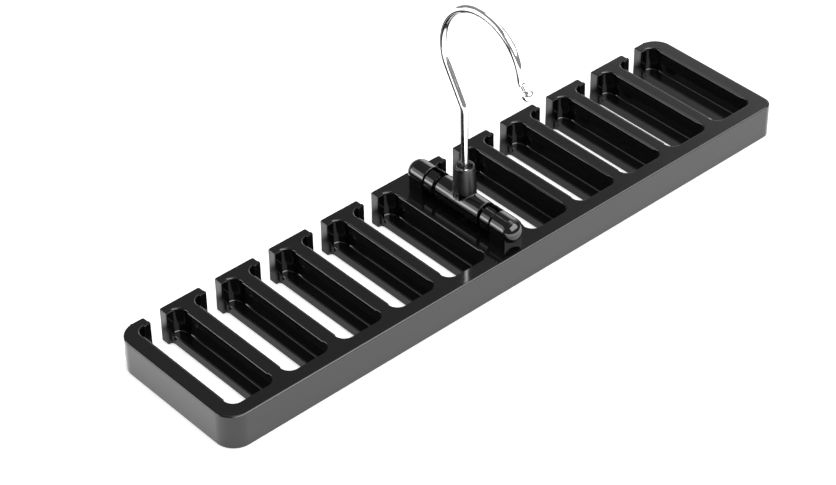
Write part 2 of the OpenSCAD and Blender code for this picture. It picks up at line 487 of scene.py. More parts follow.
class Shading:
    """The nodes of one material or of the world."""

    def __init__(self, owner: bpy.types.Material | bpy.types.World) -> None:
        """Empties the owner's node tree.

        Args:
            owner: The material or world to fill.
        """
        owner.use_nodes = True
        self.tree = owner.node_tree
        self.tree.nodes.clear()

    def node(self, kind: str, settings: dict[str, object] | None = None,
             values: dict[str | int, object] | None = None, output: str | int = 0) -> Signal:
        """Adds a node.

        Args:
            kind: The node's type.
            settings: Its options. The key stops sets a ramp's stops.
            values: The value or signal of each socket that isn't left alone.
            output: The output that is used.

        Returns:
            That output.
        """
        made = self.tree.nodes.new(kind)
        for option, choice in (settings or {}).items():
            if option == "stops":
                ramp = made.color_ramp
                for element, (place, colour) in zip(
                        [*ramp.elements, *(ramp.elements.new(1) for _ in choice[2:])], choice):
                    element.position, element.color = place, (*colour, 1)
            else:
                setattr(made, option, choice)
        for socket, value in (values or {}).items():
            if isinstance(value, Signal):
                self.tree.links.new(value.socket, made.inputs[socket])
            else:
                made.inputs[socket].default_value = value
        return Signal(self, made.outputs[output])

    def place(self) -> Signal:
        """Gives the point on the piece, in metres of the hanger's own frame."""
        return self.node("ShaderNodeTexCoord", output="Object")

    def along(self, way: Signal, axis: Iterable[float]) -> Signal:
        """Measures how far a vector reaches along an axis."""
        return self.node("ShaderNodeVectorMath", {"operation": "DOT_PRODUCT"}, {0: way, 1: tuple(axis)}, "Value")

    def fade(self, value: Signal, start: float, end: float, first: float = 0, last: float = 1) -> Signal:
        """Passes smoothly from one number to another.

        Args:
            value: What the change depends on.
            start: Where it starts.
            end: Where it ends.
            first: The number before the start.
            last: The number after the end.

        Returns:
            The number in between.
        """
        return self.node("ShaderNodeMapRange", {"interpolation_type": "SMOOTHSTEP"}, {
            "Value": value, "From Min": start, "From Max": end, "To Min": first, "To Max": last})

    def grain(self, size: float, detail: float = 2, seed: float = 0) -> Signal:
        """Gives a soft random pattern.

        Args:
            size: Size of its spots in metres.
            detail: How much finer structure it has.
            seed: Place in the pattern's fourth direction.

        Returns:
            A number about 0.5.
        """
        return self.node("ShaderNodeTexNoise", {"noise_dimensions": "4D"},
                         {"Vector": self.place(), "W": seed, "Scale": 1 / size, "Detail": detail})

    def blend(self, factor: Signal, first: Iterable[float], second: Iterable[float]) -> Signal:
        """Mixes two colours.

        Args:
            factor: Share of the second colour.
            first: Red, green and blue of the first.
            second: Red, green and blue of the second.

        Returns:
            The mixed colour.
        """
        return self.node("ShaderNodeMix", {"data_type": "RGBA"}, {
            "Factor": factor, 6: (*first, 1), 7: (*second, 1)}, 2)

    def bumps(self, height: Signal, strength: float, depth: float) -> Signal:
        """Turns a pattern into a fine relief.

        Args:
            height: The pattern.
            strength: How strongly it shows.
            depth: Its height in metres.

        Returns:
            The surface's direction.
        """
        return self.node("ShaderNodeBump", None, {"Strength": strength, "Distance": depth, "Height": height})

    def close(self, surface: Signal, kind: str = "ShaderNodeOutputMaterial") -> None:
        """Links the finished surface to the output.

        Args:
            surface: The shader to show.
            kind: Type of the output node.
        """
        sink = self.tree.nodes.new(kind)
        self.tree.links.new(surface.socket, sink.inputs["Surface"])


@dataclass(frozen=True)
class Finish:
    """A finish whose colour wanders between two tones."""

    name: str
    colour: tuple[float, float, float]
    second_colour: tuple[float, float, float]
    roughness: float
    roughness_spread: float

    def make(self) -> bpy.types.Material:
        """Builds the material.

        Returns:
            The material.
        """
        material = bpy.data.materials.new(self.name)
        shading = Shading(material)
        shading.close(shading.node("ShaderNodeBsdfPrincipled", None, self.paint(shading)))
        return material

    def paint(self, shading: Shading) -> dict[str | int, object]:
        """Gives the shader's sockets. Each finish has its own."""
        raise NotImplementedError


@dataclass(frozen=True)
class GlossPlastic(Finish):
    """Black moulded plastic with a mould-polished skin."""

    name: str = "gloss_black_plastic"
    colour: tuple[float, float, float] = (0.0022, 0.0022, 0.0024)
    second_colour: tuple[float, float, float] = (0.0042, 0.0043, 0.0046)
    roughness: float = 0.09
    roughness_spread: float = 0.08
    flow_size: float = 0.018
    handled_size: float = 0.0045
    skin_size: float = 0.0016
    skin_depth: float = 0.0000045
    skin_strength: float = 0.5
    ior: float = 1.53

    def paint(self, shading: Shading) -> dict[str | int, object]:
        """Gives the shader's sockets: cloudy colour, handled gloss and the mould's fine skin.

        Args:
            shading: The material's nodes.

        Returns:
            A value or a signal for each socket's name.
        """
        flow = shading.grain(self.flow_size, detail=3)
        handled = shading.grain(self.handled_size, detail=4, seed=3.7)
        skin = shading.grain(self.skin_size, detail=2, seed=1.3)
        return {
            "Base Color": shading.blend(flow, self.colour, self.second_colour),
            "Roughness": self.roughness + (handled - 0.5) * self.roughness_spread + self.dulled(shading),
            "IOR": self.ior,
            "Normal": shading.bumps(skin, self.skin_strength, self.skin_depth)}

    def dulled(self, shading: Shading) -> Signal | float:
        """Gives the extra roughness of duller places, of which the plain finish has none."""
        return 0.0


@dataclass(frozen=True)
class DullBossPlastic(GlossPlastic):
    """The same plastic on the yoke, whose boss has a duller side between its foot and its rim."""

    name: str = "yoke_black_plastic"
    foot: float = 0
    rim: float = 1
    blend: float = 0.0008
    dullness: float = 0.26

    def dulled(self, shading: Shading) -> Signal:
        """Gives the extra roughness of the boss's side.

        Args:
            shading: The material's nodes.

        Returns:
            What is added to the roughness.
        """
        height = shading.along(shading.place(), (0, 0, 1))
        above = shading.fade(height, self.foot, self.foot + self.blend)
        return above * shading.fade(height, self.rim - self.blend, self.rim, self.dullness, 0)


@dataclass(frozen=True)
class BrightChrome(Finish):
    """Chrome plating on drawn steel wire."""

    name: str = "hook_chrome"
    colour: tuple[float, float, float] = (0.86, 0.87, 0.885)
    second_colour: tuple[float, float, float] = (0.8, 0.805, 0.82)
    roughness: float = 0.05
    roughness_spread: float = 0.07
    spot_size: float = 0.002
    draw_size: float = 0.0007
    draw_depth: float = 0.000002
    draw_strength: float = 0.3

    def paint(self, shading: Shading) -> dict[str | int, object]:
        """Gives the shader's sockets: faint spots and the marks of drawing.

        Args:
            shading: The material's nodes.

        Returns:
            A value or a signal for each socket's name.
        """
        spots = shading.grain(self.spot_size, detail=3)
        drawn = shading.grain(self.draw_size, detail=1, seed=5.1)
        return {
            "Base Color": shading.blend(spots, self.colour, self.second_colour),
            "Metallic": 1.0,
            "Roughness": self.roughness + spots * self.roughness_spread,
            "Normal": shading.bumps(drawn, self.draw_strength, self.draw_depth)}


@dataclass(frozen=True)
class ZincSteel(Finish):
    """Zinc-plated steel of the hidden washer."""

    name: str = "zinc_steel"
    colour: tuple[float, float, float] = (0.56, 0.57, 0.58)
    second_colour: tuple[float, float, float] = (0.42, 0.43, 0.45)
    roughness: float = 0.3
    roughness_spread: float = 0.2
    crystal_size: float = 0.0012

    def paint(self, shading: Shading) -> dict[str | int, object]:
        """Gives the shader's sockets: crystals of zinc in two greys.

        Args:
            shading: The material's nodes.

        Returns:
            A value or a signal for each socket's name.
        """
        crystals = shading.grain(self.crystal_size, detail=4)
        return {
            "Base Color": shading.blend(crystals, self.colour, self.second_colour),
            "Metallic": 1.0,
            "Roughness": self.roughness + crystals * self.roughness_spread}


@dataclass
class Comb:
    """The moulded comb with its ten stepped slots."""

    bench: Workbench
    finish: bpy.types.Material
    slots_per_side: int = 5
    spine_width: float = 7
    end_bar_width: float = 7
    finger_width: float = 5.6
    centre_width: float = 24.2
    head_thickness: float = 4.4
    mouth_width: float = 7.5
    slot_corner: float = 4.5
    corner: float = 9
    front_right_corner: float = 5.2
    corner_reach: float = 1
    top_round: float = 0.8
    fine_round: float = 0.5
    widening_share: float = 0.6
    mouth_round: float = 1
    foot_round: float = 0.4
    ledge_width: float = 5.2
    ledge_height: float = 4.7
    ledge_round: float = 0.5
    ledge_fillet: float = 0.8
    rim_reach: float = 0.5
    rim_height: float = 1.3
    rim_setback: float = 5
    rim_drop: float = 0.02
    lip_bead_width: float = 3.4
    lip_bead_reach: float = 0.8
    lip_bead_drop: float = 0.06
    lip_bead_nose: float = 0.6
    beyond: float = 1
    low: Vector = field(init=False)
    high: Vector = field(init=False)

    def __post_init__(self) -> None:
        """Reads the comb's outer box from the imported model."""
        boxes = [node_box(node) for node in ("spine_rail", "end_frame_left", "end_frame_right")]
        self.low = Vector(min(box[0][i] for box in boxes) for i in range(3))
        self.high = Vector(max(box[1][i] for box in boxes) for i in range(3))
        self.root = self.low.y + self.spine_width
        self.head = self.high.y - self.head_thickness
        side = self.high.x - self.end_bar_width - self.centre_width / 2
        self.slot_width = (side - (self.slots_per_side - 1) * self.finger_width) / self.slots_per_side
        self.pitch = self.slot_width + self.finger_width

    def slot_places(self) -> list[float]:
        """Lists the centres of the slots along the comb.

        Returns:
            The centres in millimetres.
        """
        first = self.centre_width / 2 + self.slot_width / 2
        return [side * (first + place * self.pitch) for side in (-1, 1) for place in range(self.slots_per_side)]

    def slot_space(self) -> bpy.types.Object:
        """Makes the space of one slot, centred on x = 0.

        Returns:
            The shape that is cut out for a slot.
        """
        half, gap = self.slot_width / 2, self.slot_width / 2 - self.ledge_width
        top, ledge_corner = self.high.z, gap - self.mouth_width / 2
        space = self.bench.block("slot_space", (-half, self.root, self.ledge_height),
                                 (half, self.head, top + self.beyond))
        self.bench.round_upright(space, self.slot_corner, 12)
        self.bench.round_level(space, self.ledge_height, self.ledge_fillet, 4)
        foot = self.bench.block("slot_foot", (-gap, self.root, -self.beyond),
                                (gap, self.head, self.ledge_height + self.beyond))
        self.bench.round_upright(foot, ledge_corner, 8)
        mouth = self.bench.block("slot_mouth", (-self.mouth_width / 2, self.head - ledge_corner, -2 * self.beyond),
                                 (self.mouth_width / 2, self.high.y + self.beyond, top + 2 * self.beyond))
        self.bench.combine(space, foot, Join.FUSE)
        self.bench.round_level(space, self.ledge_height, self.ledge_round, 3)
        self.bench.combine(space, mouth, Join.FUSE)
        return space

    def rim_bead(self) -> bpy.types.Object:
        """Makes the round bead along the top of a slot's right wall, for a slot at x = 0.

        Returns:
            A bar with round ends that is sunk into the wall.
        """
        radius, steps = self.rim_height / 2, 5
        start, end = self.root + self.rim_setback, self.head - self.rim_setback
        turns = [math.pi / 2 * step / steps for step in range(steps + 1)]
        near = [(radius * math.sin(turn), start + radius * (1 - math.cos(turn))) for turn in turns]
        far = [(radius * math.cos(turn), end - radius * (1 - math.sin(turn))) for turn in turns]
        middle = Vector((self.slot_width / 2 + radius - self.rim_reach, 0, self.high.z - radius - self.rim_drop))
        return self.bench.turned("rim_bead", near + far, middle, (0, 1, 0), 24)

    def lip_bead(self) -> bpy.types.Object:
        """Makes the upright bead on the inner side of a slot's right lip, for a slot at x = 0.

        Returns:
            A bar with a round nose that is sunk into the lip.
        """
        start, drop = self.mouth_width / 2 + self.lip_bead_drop, self.lip_bead_drop
        bead = self.bench.block(
            "lip_bead", (start, self.head - self.lip_bead_reach, self.foot_round),
            (start + self.lip_bead_width, self.head + self.beyond, self.high.z - drop))
        self.bench.round_edges(
            bead, lambda edge: all(abs(v.co.y - self.head + self.lip_bead_reach) < CLOSE for v in edge.verts),
            self.lip_bead_reach * self.lip_bead_nose, 4)
        return bead

    def beads(self) -> bpy.types.Object:
        """Makes the beads of all slots.

        Returns:
            The bars, which don't touch each other.
        """
        right = [self.rim_bead(), self.lip_bead()]
        pair = right + [self.bench.mirrored(bead, bead.name, (-1, 1, 1)) for bead in right]
        first = self.bench.join(pair)
        bars = [self.bench.copy(first, (x, 0, 0)) for x in self.slot_places()]
        bpy.data.objects.remove(first)
        return self.bench.join(bars)

    def top_share(self, middle: Vector) -> float:
        """Finds how wide the top rounding is: fine along a slot and full round its heads and outside.

        Args:
            middle: The middle of an edge.

        Returns:
            The share of the full radius.
        """
        outside = abs(middle.x) > self.high.x - self.end_bar_width + NEAR
        if outside or middle.y < self.root - NEAR:
            return 1
        into_head = (middle.y - self.head + self.slot_corner) / (self.widening_share * self.slot_corner)
        fine = self.fine_round / self.top_round
        return fine + (1 - fine) * min(max(into_head, 0), 1)

    def build(self) -> None:
        """Makes the comb and sets it on its body."""
        comb = self.bench.block("comb_plate", self.low, self.high)
        tight = Vector((self.high.x, self.low.y))
        self.bench.round_upright(comb, self.front_right_corner, 12,
                                 lambda middle: (middle.xy - tight).length < self.corner_reach)
        self.bench.round_upright(comb, self.corner, 16,
                                 lambda middle: (middle.xy - tight).length > 2 * self.corner)
        first = self.slot_space()
        spaces = [self.bench.copy(first, (x, 0, 0)) for x in self.slot_places()]
        bpy.data.objects.remove(first)
        self.bench.combine(comb, self.bench.join(spaces), Join.CUT)
        self.bench.round_upright(comb, self.mouth_round, 4, lambda middle: abs(middle.y - self.high.y) < NEAR)
        self.bench.round_level(comb, self.high.z, self.top_round, 5, self.top_share)
        self.bench.round_level(comb, self.low.z, self.foot_round, 3)
        self.bench.combine(comb, self.beads(), Join.FUSE)
        self.bench.shade(comb)
        nodes = [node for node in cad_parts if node.startswith("belt_finger")]
        self.bench.hand_over(comb, "comb_moulding", self.finish, Slot.PLASTIC, Body.COMB, "spine_rail",
                             "end_frame_left", "end_frame_right", "centre_finger", *sorted(nodes))


@dataclass
class Pivot:
    """The fold pivot: two posts with domed ends, two pins and two slit collars."""

    bench: Workbench
    finish: bpy.types.Material
    bore_clearance: float = 0.05
    end_round: float = 0.3
    tip_flat: float = 0.8
    stem_length: float = 8.8
    stem_inset: float = 0.2
    slit_width: float = 2.8
    slit_turn: float = 12
    groove_width: float = 0.6
    groove_depth: float = 0.8
    bore_end_play: float = 0.18
    tip_reach: float = 1
    collar_break: float = 0.18
    post_break: float = 0.12
    pin_break: float = 0.08
    beyond: float = 1

    def __post_init__(self) -> None:
        """Reads the pivot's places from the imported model."""
        self.post_low, self.post_high = node_box("pivot_post_back")
        self.pin_low, self.pin_high = node_box("pivot_pin_back")
        self.collar_low, self.collar_high = node_box("friction_collar_back")
        self.radius = (self.post_high.x - self.post_low.x) / 2
        self.axis = self.post_high.z - self.radius
        self.foot = Vector((0, 0, self.axis))
        self.pin_radius = (self.pin_high.x - self.pin_low.x) / 2
        self.bore = self.pin_radius + self.bore_clearance

    def stem(self) -> bpy.types.Object:
        """Makes the stem of the back post, which follows the dome and is cut flat at its end.

        Returns:
            The stem.
        """
        start, tip, half = self.post_low.y, self.post_high.y, self.radius - self.stem_inset
        stem = self.bench.block("stem", (-half, start + self.end_round, self.post_low.z),
                                (half, tip - self.stem_inset, self.axis))
        self.bench.round_upright(stem, half - self.tip_flat / 2, 16, lambda middle: middle.y > tip - self.tip_reach)
        self.bench.edit_all(stem, "FACE")
        bpy.ops.mesh.bisect(plane_co=(0, start + self.stem_length, 0), plane_no=(0, 1, 0), use_fill=True,
                            clear_outer=True)
        self.bench.clear()
        return stem

    def post(self) -> bpy.types.Object:
        """Makes the back post, a round bar with a domed end over an upright stem.

        Returns:
            The post.
        """
        start, tip, steps = self.post_low.y, self.post_high.y, 14
        dome = self.radius - self.tip_flat / 2
        turns = [math.pi / 2 * step / steps for step in range(steps + 1)]
        edge = [(self.radius - self.end_round * (1 - math.sin(turn)), start + self.end_round * (1 - math.cos(turn)))
                for turn in turns[::5]]
        cap = [(self.tip_flat / 2 + dome * math.cos(turn), tip - dome * (1 - math.sin(turn))) for turn in turns]
        post = self.bench.turned("post", [(0, start), *edge, (self.radius, start + self.end_round), *cap, (0, tip)],
                                 self.foot, (0, 1, 0), 64)
        self.bench.combine(post, self.stem(), Join.FUSE)
        end = self.pin_high.y + self.bore_end_play
        bore = self.bench.rod("bore", self.bore, start - self.beyond, end, self.foot, (0, 1, 0))
        self.bench.combine(post, bore, Join.CUT)
        self.bench.soften(post, self.post_break)
        return post

    def pin(self) -> bpy.types.Object:
        """Makes the back pin with its broken ends.

        Returns:
            The pin.
        """
        start, end, rim, lead = self.pin_low.y, self.pin_high.y, self.pin_radius, self.end_round
        pin = self.bench.turned("pin", [
            (0, start), (rim - lead, start), (rim, start + lead), (rim, end - lead), (rim - lead, end), (0, end)],
            self.foot, (0, 1, 0), 64)
        self.bench.soften(pin, self.pin_break)
        return pin

    def collar(self) -> bpy.types.Object:
        """Makes the back collar with its slit and the groove at each of its ends.

        Returns:
            The collar.
        """
        start, end, wall = self.collar_low.y, self.collar_high.y, self.radius
        neck, land, last = wall - self.groove_depth, start + self.groove_width, end - self.groove_width
        collar = self.bench.turned(
            "collar", [(self.bore, start), (neck, start), (neck, land), (wall, land), (wall, last), (neck, last),
                       (neck, end), (self.bore, end), (self.bore, start)],
            self.foot, (0, 1, 0), 64)
        slit = self.bench.block("slit", (-self.slit_width / 2, start - self.beyond, 0),
                                (self.slit_width / 2, end + self.beyond, wall + self.beyond))
        self.bench.take(slit)
        slit.rotation_euler = Euler((0, math.radians(self.slit_turn), 0))
        slit.location = self.foot
        self.bench.settle()
        self.bench.combine(collar, slit, Join.CUT)
        self.bench.soften(collar, self.collar_break, 3)
        return collar

    def build(self) -> None:
        """Makes the pieces at the back and their mirror images at the front."""
        for piece, name in ((self.post(), "pivot_post"), (self.pin(), "pivot_pin"), (self.collar(), "friction_collar")):
            twin = self.bench.mirrored(piece, name)
            self.bench.shade(twin)
            for side, made in (("back", piece), ("front", twin)):
                node = f"{name}_{side}"
                self.bench.hand_over(made, f"{node}_moulding", self.finish, Slot.PLASTIC, Body.COMB, node)


@dataclass
class Yoke:
    """The yoke, whose barrel turns on the pins and whose boss holds the hook."""

    bench: Workbench
    end_round: float = 0.3
    bore_diameter: float = 4.1
    bore_depth: float = 5.7
    boss_foot_diameter: float = 10
    boss_taper_start: float = 3
    boss_rim_diameter: float = 8.5
    boss_rim_round: float = 0.5
    recess_diameter: float = 6.2
    recess_depth: float = 1.5
    wire_bore_diameter: float = 3.3
    cavity_diameter: float = 6.9
    cavity_top: float = -1.4
    junction_fillet: float = 0.4
    junction_angle: float = 35
    junction_reach: float = 0.1
    end_bulge: float = 0.09
    edge_break: float = 0.15
    beyond: float = 1

    def __post_init__(self) -> None:
        """Reads the yoke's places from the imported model."""
        self.low, self.high = node_box("swivel_yoke")
        self.radius = (self.high.x - self.low.x) / 2
        self.axis = self.low.z + self.radius
        self.foot = Vector((0, 0, self.axis))
        self.boss_rise = self.high.z - self.axis
        self.finish = DullBossPlastic(foot=(self.axis + self.radius) * MM,
                                      rim=(self.high.z - self.boss_rim_round) * MM).make()

    def build(self) -> None:
        """Makes the yoke and sets it on its body."""
        end, rim = self.high.y, self.boss_rim_diameter / 2
        floor, top, corner = self.boss_rise - self.recess_depth, self.boss_rise, self.boss_rim_round
        mouth = self.recess_diameter / 2
        turns = [math.pi / 8 * step for step in range(5)]
        outer = [(rim - corner * (1 - math.cos(turn)), top - corner * (1 - math.sin(turn))) for turn in turns]
        inner = [(mouth + corner * (1 - math.sin(turn)), top - corner * (1 - math.cos(turn))) for turn in turns]
        yoke = self.bench.turned("yoke", [
            (0, -end), (self.radius - self.end_round, -end), (self.radius - self.end_bulge, self.end_bulge - end),
            (self.radius, self.end_round - end), (self.radius, end - self.end_round),
            (self.radius - self.end_bulge, end - self.end_bulge), (self.radius - self.end_round, end), (0, end)],
            self.foot, (0, 1, 0), 48)
        boss = self.bench.turned("boss", [
            (0, 0), (self.boss_foot_diameter / 2, 0),
            (self.boss_foot_diameter / 2, self.radius + self.boss_taper_start),
            *outer, *inner, (mouth - self.recess_depth / 4, floor), (0, floor)],
            self.foot, (0, 0, 1), 48)
        self.bench.combine(yoke, boss, Join.FUSE)
        self.bench.round_edges(yoke, self.at_junction, self.junction_fillet, 3)
        for side in (-1, 1):
            bore = self.bench.rod("pin_bore", self.bore_diameter / 2, end - self.bore_depth, end + self.beyond,
                                  self.foot, (0, side, 0))
            self.bench.combine(yoke, bore, Join.CUT)
        for diameter, low, high in (
                (self.wire_bore_diameter, self.cavity_top - self.beyond, floor + self.beyond),
                (self.cavity_diameter, -self.radius - self.beyond, self.cavity_top)):
            hole = self.bench.rod("hole", diameter / 2, low, high, self.foot, (0, 0, 1))
            self.bench.combine(yoke, hole, Join.CUT)
        self.bench.soften(yoke, self.edge_break)
        self.bench.hand_over(yoke, "yoke_moulding", self.finish, Slot.PLASTIC, Body.YOKE, "swivel_yoke")

    def at_junction(self, edge: bmesh.types.BMEdge) -> bool:
        """Tells whether an edge lies where the boss leaves the barrel.

        Args:
            edge: An edge of the yoke.

        Returns:
            True where both surfaces meet at a plain angle.
        """
        if len(edge.link_faces) != 2 or edge.calc_face_angle(0) < math.radians(self.junction_angle):
            return False
        middle = (edge.verts[0].co + edge.verts[1].co) / 2
        on_boss = abs(middle.xy.length - self.boss_foot_diameter / 2) < self.junction_reach
        on_barrel = abs(math.hypot(middle.x, middle.z - self.axis) - self.radius) < self.junction_reach
        return on_boss and on_barrel and middle.z > self.axis


@dataclass
class WireHook:
    """The wire hook with its stop, its riveted foot, its washer and its ball."""

    bench: Workbench
    chrome: bpy.types.Material
    zinc: bpy.types.Material
    wire_diameter: float = 3.2
    ring_points: int = 32
    rivet_diameter: float = 4.8
    rivet_height: float = 1
    stop_foot: float = 16.65
    stop_height: float = 1.1
    round_radius: float = 22.5
    round_centre: tuple[float, float] = (-10.1, 73.9)
    bend_rise: float = 46.5
    bend_radius: float = 6
    round_stop: float = 9
    tip_length: float = 0.8
    flare: float = 31
    flare_radius: float = 3.84
    neck_diameter: float = 2.304
    neck_length: float = 2
    rivet_lead: float = 0.86
    stop_lead: float = 0.96
    stop_lead_height: float = 0.1
    lead_height: float = 0.35
    neck_lead: float = 0.93
    neck_lead_length: float = 0.12
    neck_in_ball: float = 0.4
    neck_clearance: float = 0.05
    socket_floor: float = 0.4
    washer_break: float = 0.12
    ball_break: float = 0.1
    ball_diameter: float = 5
    washer_bore: float = 3.3

    def __post_init__(self) -> None:
        """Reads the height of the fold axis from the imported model."""
        low, high = node_box("swivel_yoke")
        self.fold_height = low.z + (high.x - low.x) / 2

    def point(self, place: Vector) -> Vector:
        """Lifts a point of the hook's flat drawing into the frame.

        Args:
            place: Distance from the swivel axis and height above the fold axis.

        Returns:
            The point in millimetres.
        """
        return Vector((0, place.x, self.fold_height + place.y))

    def ring(self) -> Vector:
        """Finds the middle of the selected ring.

        Returns:
            Its place in millimetres.
        """
        cage = bmesh.from_edit_mesh(bpy.context.object.data)
        chosen = [vertex.co for vertex in cage.verts if vertex.select]
        return sum(chosen, Vector()) / len(chosen)

    def go(self, there: Vector) -> None:
        """Draws the wire on to a point.

        Args:
            there: The point, in the flat drawing.
        """
        bpy.ops.mesh.extrude_region_move(TRANSFORM_OT_translate={"value": self.point(there) - self.ring()})

    def rise(self, height: float) -> None:
        """Draws the wire straight up to a height over the fold axis."""
        self.go(Vector((0, height)))

    def swell(self, ratio: float) -> None:
        """Widens or narrows the end of the wire on the spot.

        Args:
            ratio: New diameter over the old one.
        """
        bpy.ops.mesh.extrude_region_move(TRANSFORM_OT_translate={"value": (0, 0, 0)})
        self.resize(ratio)

    def resize(self, ratio: float) -> None:
        """Widens or narrows the end ring itself.

        Args:
            ratio: New diameter over the old one.
        """
        bpy.ops.transform.resize(value=(ratio, ratio, ratio), center_override=self.ring())

    def bend(self, centre: Vector, degrees: float, steps: int) -> None:
        """Bends the wire about a point.

        Args:
            centre: The point, in the flat drawing.
            degrees: Angle of the bend, counter-clockwise in the drawing.
            steps: Number of stretches.
        """
        bpy.ops.mesh.spin(steps=steps, angle=math.radians(degrees), center=self.point(centre), axis=(-1, 0, 0))

    def wire(self) -> bpy.types.Object:
        """Draws the wire from its riveted foot to its neck.

        Returns:
            The wire.
        """
        round_centre = Vector(self.round_centre)
        rise = round_centre.y - self.bend_rise
        reach = Vector((round_centre.x, rise)).length
        slant = math.degrees(math.asin(self.round_radius / reach) - math.atan(-round_centre.x / rise))
        bend_centre = Vector((self.bend_radius,
                              self.bend_rise - self.bend_radius * math.tan(math.radians(slant / 2))))
        outward = Vector((math.cos(math.radians(slant)), -math.sin(math.radians(slant))))
        leg_top = round_centre + self.round_radius * outward
        stop = math.radians(self.round_stop)
        edge = round_centre + self.round_radius * Vector((-math.cos(stop), math.sin(stop)))
        flare_edge = edge + self.tip_length * Vector((-math.sin(stop), -math.cos(stop)))
        flare_centre = flare_edge + self.flare_radius * Vector((-math.cos(stop), math.sin(stop)))
        end = math.radians(-self.round_stop - self.flare)
        neck = flare_centre + self.flare_radius * Vector((math.cos(end), math.sin(end)))
        self.neck_way = Vector((math.sin(end), -math.cos(end)))
        self.ball_centre = neck + (self.neck_length + self.ball_diameter / 2) * self.neck_way
        low = node_box("hook_wire")[0].z - self.fold_height
        wide = self.rivet_diameter / self.wire_diameter

        self.bench.clear()
        bpy.ops.mesh.primitive_circle_add(vertices=self.ring_points, radius=self.wire_diameter / 2,
                                          location=self.point(Vector((0, low))))
        wire = bpy.context.object
        self.bench.settle()
        bpy.ops.object.mode_set(mode="EDIT")
        bpy.ops.mesh.select_mode(type="EDGE")
        bpy.ops.mesh.select_all(action="SELECT")
        self.resize(wide * self.rivet_lead)
        self.rise(low + self.lead_height)
        self.resize(1 / self.rivet_lead)
        self.rise(low + self.rivet_height)
        self.swell(1 / wide)
        self.rise(self.stop_foot)
        self.swell(wide * self.stop_lead)
        self.rise(self.stop_foot + self.stop_lead_height)
        self.resize(1 / self.stop_lead)
        self.rise(self.stop_foot + self.lead_height)
        self.rise(self.stop_foot + self.stop_height)
        self.resize(1 / wide)
        self.rise(bend_centre.y)
        self.bend(bend_centre, -slant, 10)
        self.go(leg_top)
        self.bend(round_centre, 180 - self.round_stop + slant, 72)
        self.go(flare_edge)
        self.bend(flare_centre, -self.flare, 10)
        narrow = self.neck_diameter / self.wire_diameter
        self.go(neck + self.neck_lead_length * self.neck_way)
        self.resize(self.neck_lead)
        self.swell(narrow / self.neck_lead)
        self.go(neck + (self.neck_length + self.ball_diameter * self.neck_in_ball) * self.neck_way)
        bpy.ops.mesh.edge_face_add()
        bpy.ops.mesh.select_all(action="DESELECT")
        bpy.ops.mesh.select_mode(type="EDGE")
        bpy.ops.mesh.select_non_manifold()
        bpy.ops.mesh.edge_face_add()
        bpy.ops.mesh.select_all(action="SELECT")
        bpy.ops.mesh.normals_make_consistent(inside=False)
        self.bench.clear()
        self.bench.shade(wire)
        return wire

    def washer(self) -> bpy.types.Object:
        """Makes the washer over the riveted foot.

        Returns:
            The washer.
        """
        low, high = node_box("hook_retaining_washer")
        bore, rim = self.washer_bore / 2, (high.x - low.x) / 2
        washer = self.bench.turned("washer", [
            (bore, low.z), (rim, low.z), (rim, high.z), (bore, high.z), (bore, low.z)], (0, 0, 0), (0, 0, 1), 48)
        self.bench.soften(washer, self.washer_break)
        return washer

    def ball(self) -> bpy.types.Object:
        """Makes the ball with the ring that closes it round the neck.

        Returns:
            The ball.
        """
        radius, hole = self.ball_diameter / 2, self.neck_diameter / 2 + self.neck_clearance
        start = math.asin(hole / radius)
        steps = 24
        profile = [(0, self.socket_floor), (hole, self.socket_floor)]
        for step in range(steps + 1):
            angle = start + (math.pi - start) * step / steps
            profile.append((radius * math.sin(angle), radius * math.cos(angle)))
        away = Vector((0, -self.neck_way.x, -self.neck_way.y))
        ball = self.bench.turned("ball", profile, self.point(self.ball_centre), away, 48)
        self.bench.soften(ball, self.ball_break)
        return ball

    def build(self) -> None:
        """Makes the hook's pieces and sets them on its body."""
        self.bench.hand_over(self.wire(), "bent_wire", self.chrome, Slot.CHROME, Body.HOOK, "hook_wire")
        self.bench.hand_over(self.washer(), "plated_washer", self.zinc, Slot.ZINC, Body.HOOK,
                             "hook_retaining_washer")
        self.bench.hand_over(self.ball(), "polished_ball", self.chrome, Slot.CHROME, Body.HOOK, "hook_tip_ball")


@dataclass(frozen=True)
class Panel:
    """A bright panel of the studio, as the gloss of the pieces shows it."""

    azimuth: float
    elevation: float
    width: float
    height: float
    strength: float
    soft: float = 0.25

    def shine(self, shading: Shading, way: Signal) -> Signal:
        """Adds the panel to the world.

        Args:
            shading: The world's nodes.
            way: Direction of a ray.

        Returns:
            The panel's strength in that direction.
        """
        turn = (Matrix.Rotation(-math.radians(self.azimuth), 3, "Z")
                @ Matrix.Rotation(math.radians(self.elevation), 3, "X"))
        across, ahead, upward = (turn @ Vector(axis) for axis in ((1, 0, 0), (0, 1, 0), (0, 0, 1)))
        depth = shading.along(way, ahead).at_least(0.001)
        glow: Signal | float = self.strength
        for axis, angle in ((across, self.width), (upward, self.height)):
            reach = math.tan(math.radians(angle / 2))
            glow = shading.fade(abs(shading.along(way, axis)) / depth, reach * (1 + self.soft),
                                reach * (1 - self.soft)) * glow
        return glow


@dataclass
class Lamp:
    """A soft box that lights the pieces: its place, its size, its aim and its power."""

    name: str
    place: tuple[float, float, float]
    size: tuple[float, float]
    power: float
    aim: tuple[float, float, float] = (0, 0, 0)

    def hang(self) -> None:
        """Adds the lamp to the scene."""
        data = bpy.data.lights.new(self.name, "AREA")
        data.shape = "RECTANGLE"
        data.size, data.size_y = self.size
        data.energy = self.power
        lamp = bpy.data.objects.new(self.name, data)
        bpy.context.scene.collection.objects.link(lamp)
        lamp.visible_glossy = False
        lamp.location = self.place
        lamp.rotation_euler = (Vector(self.place) - Vector(self.aim)).to_track_quat("Z", "Y").to_euler()


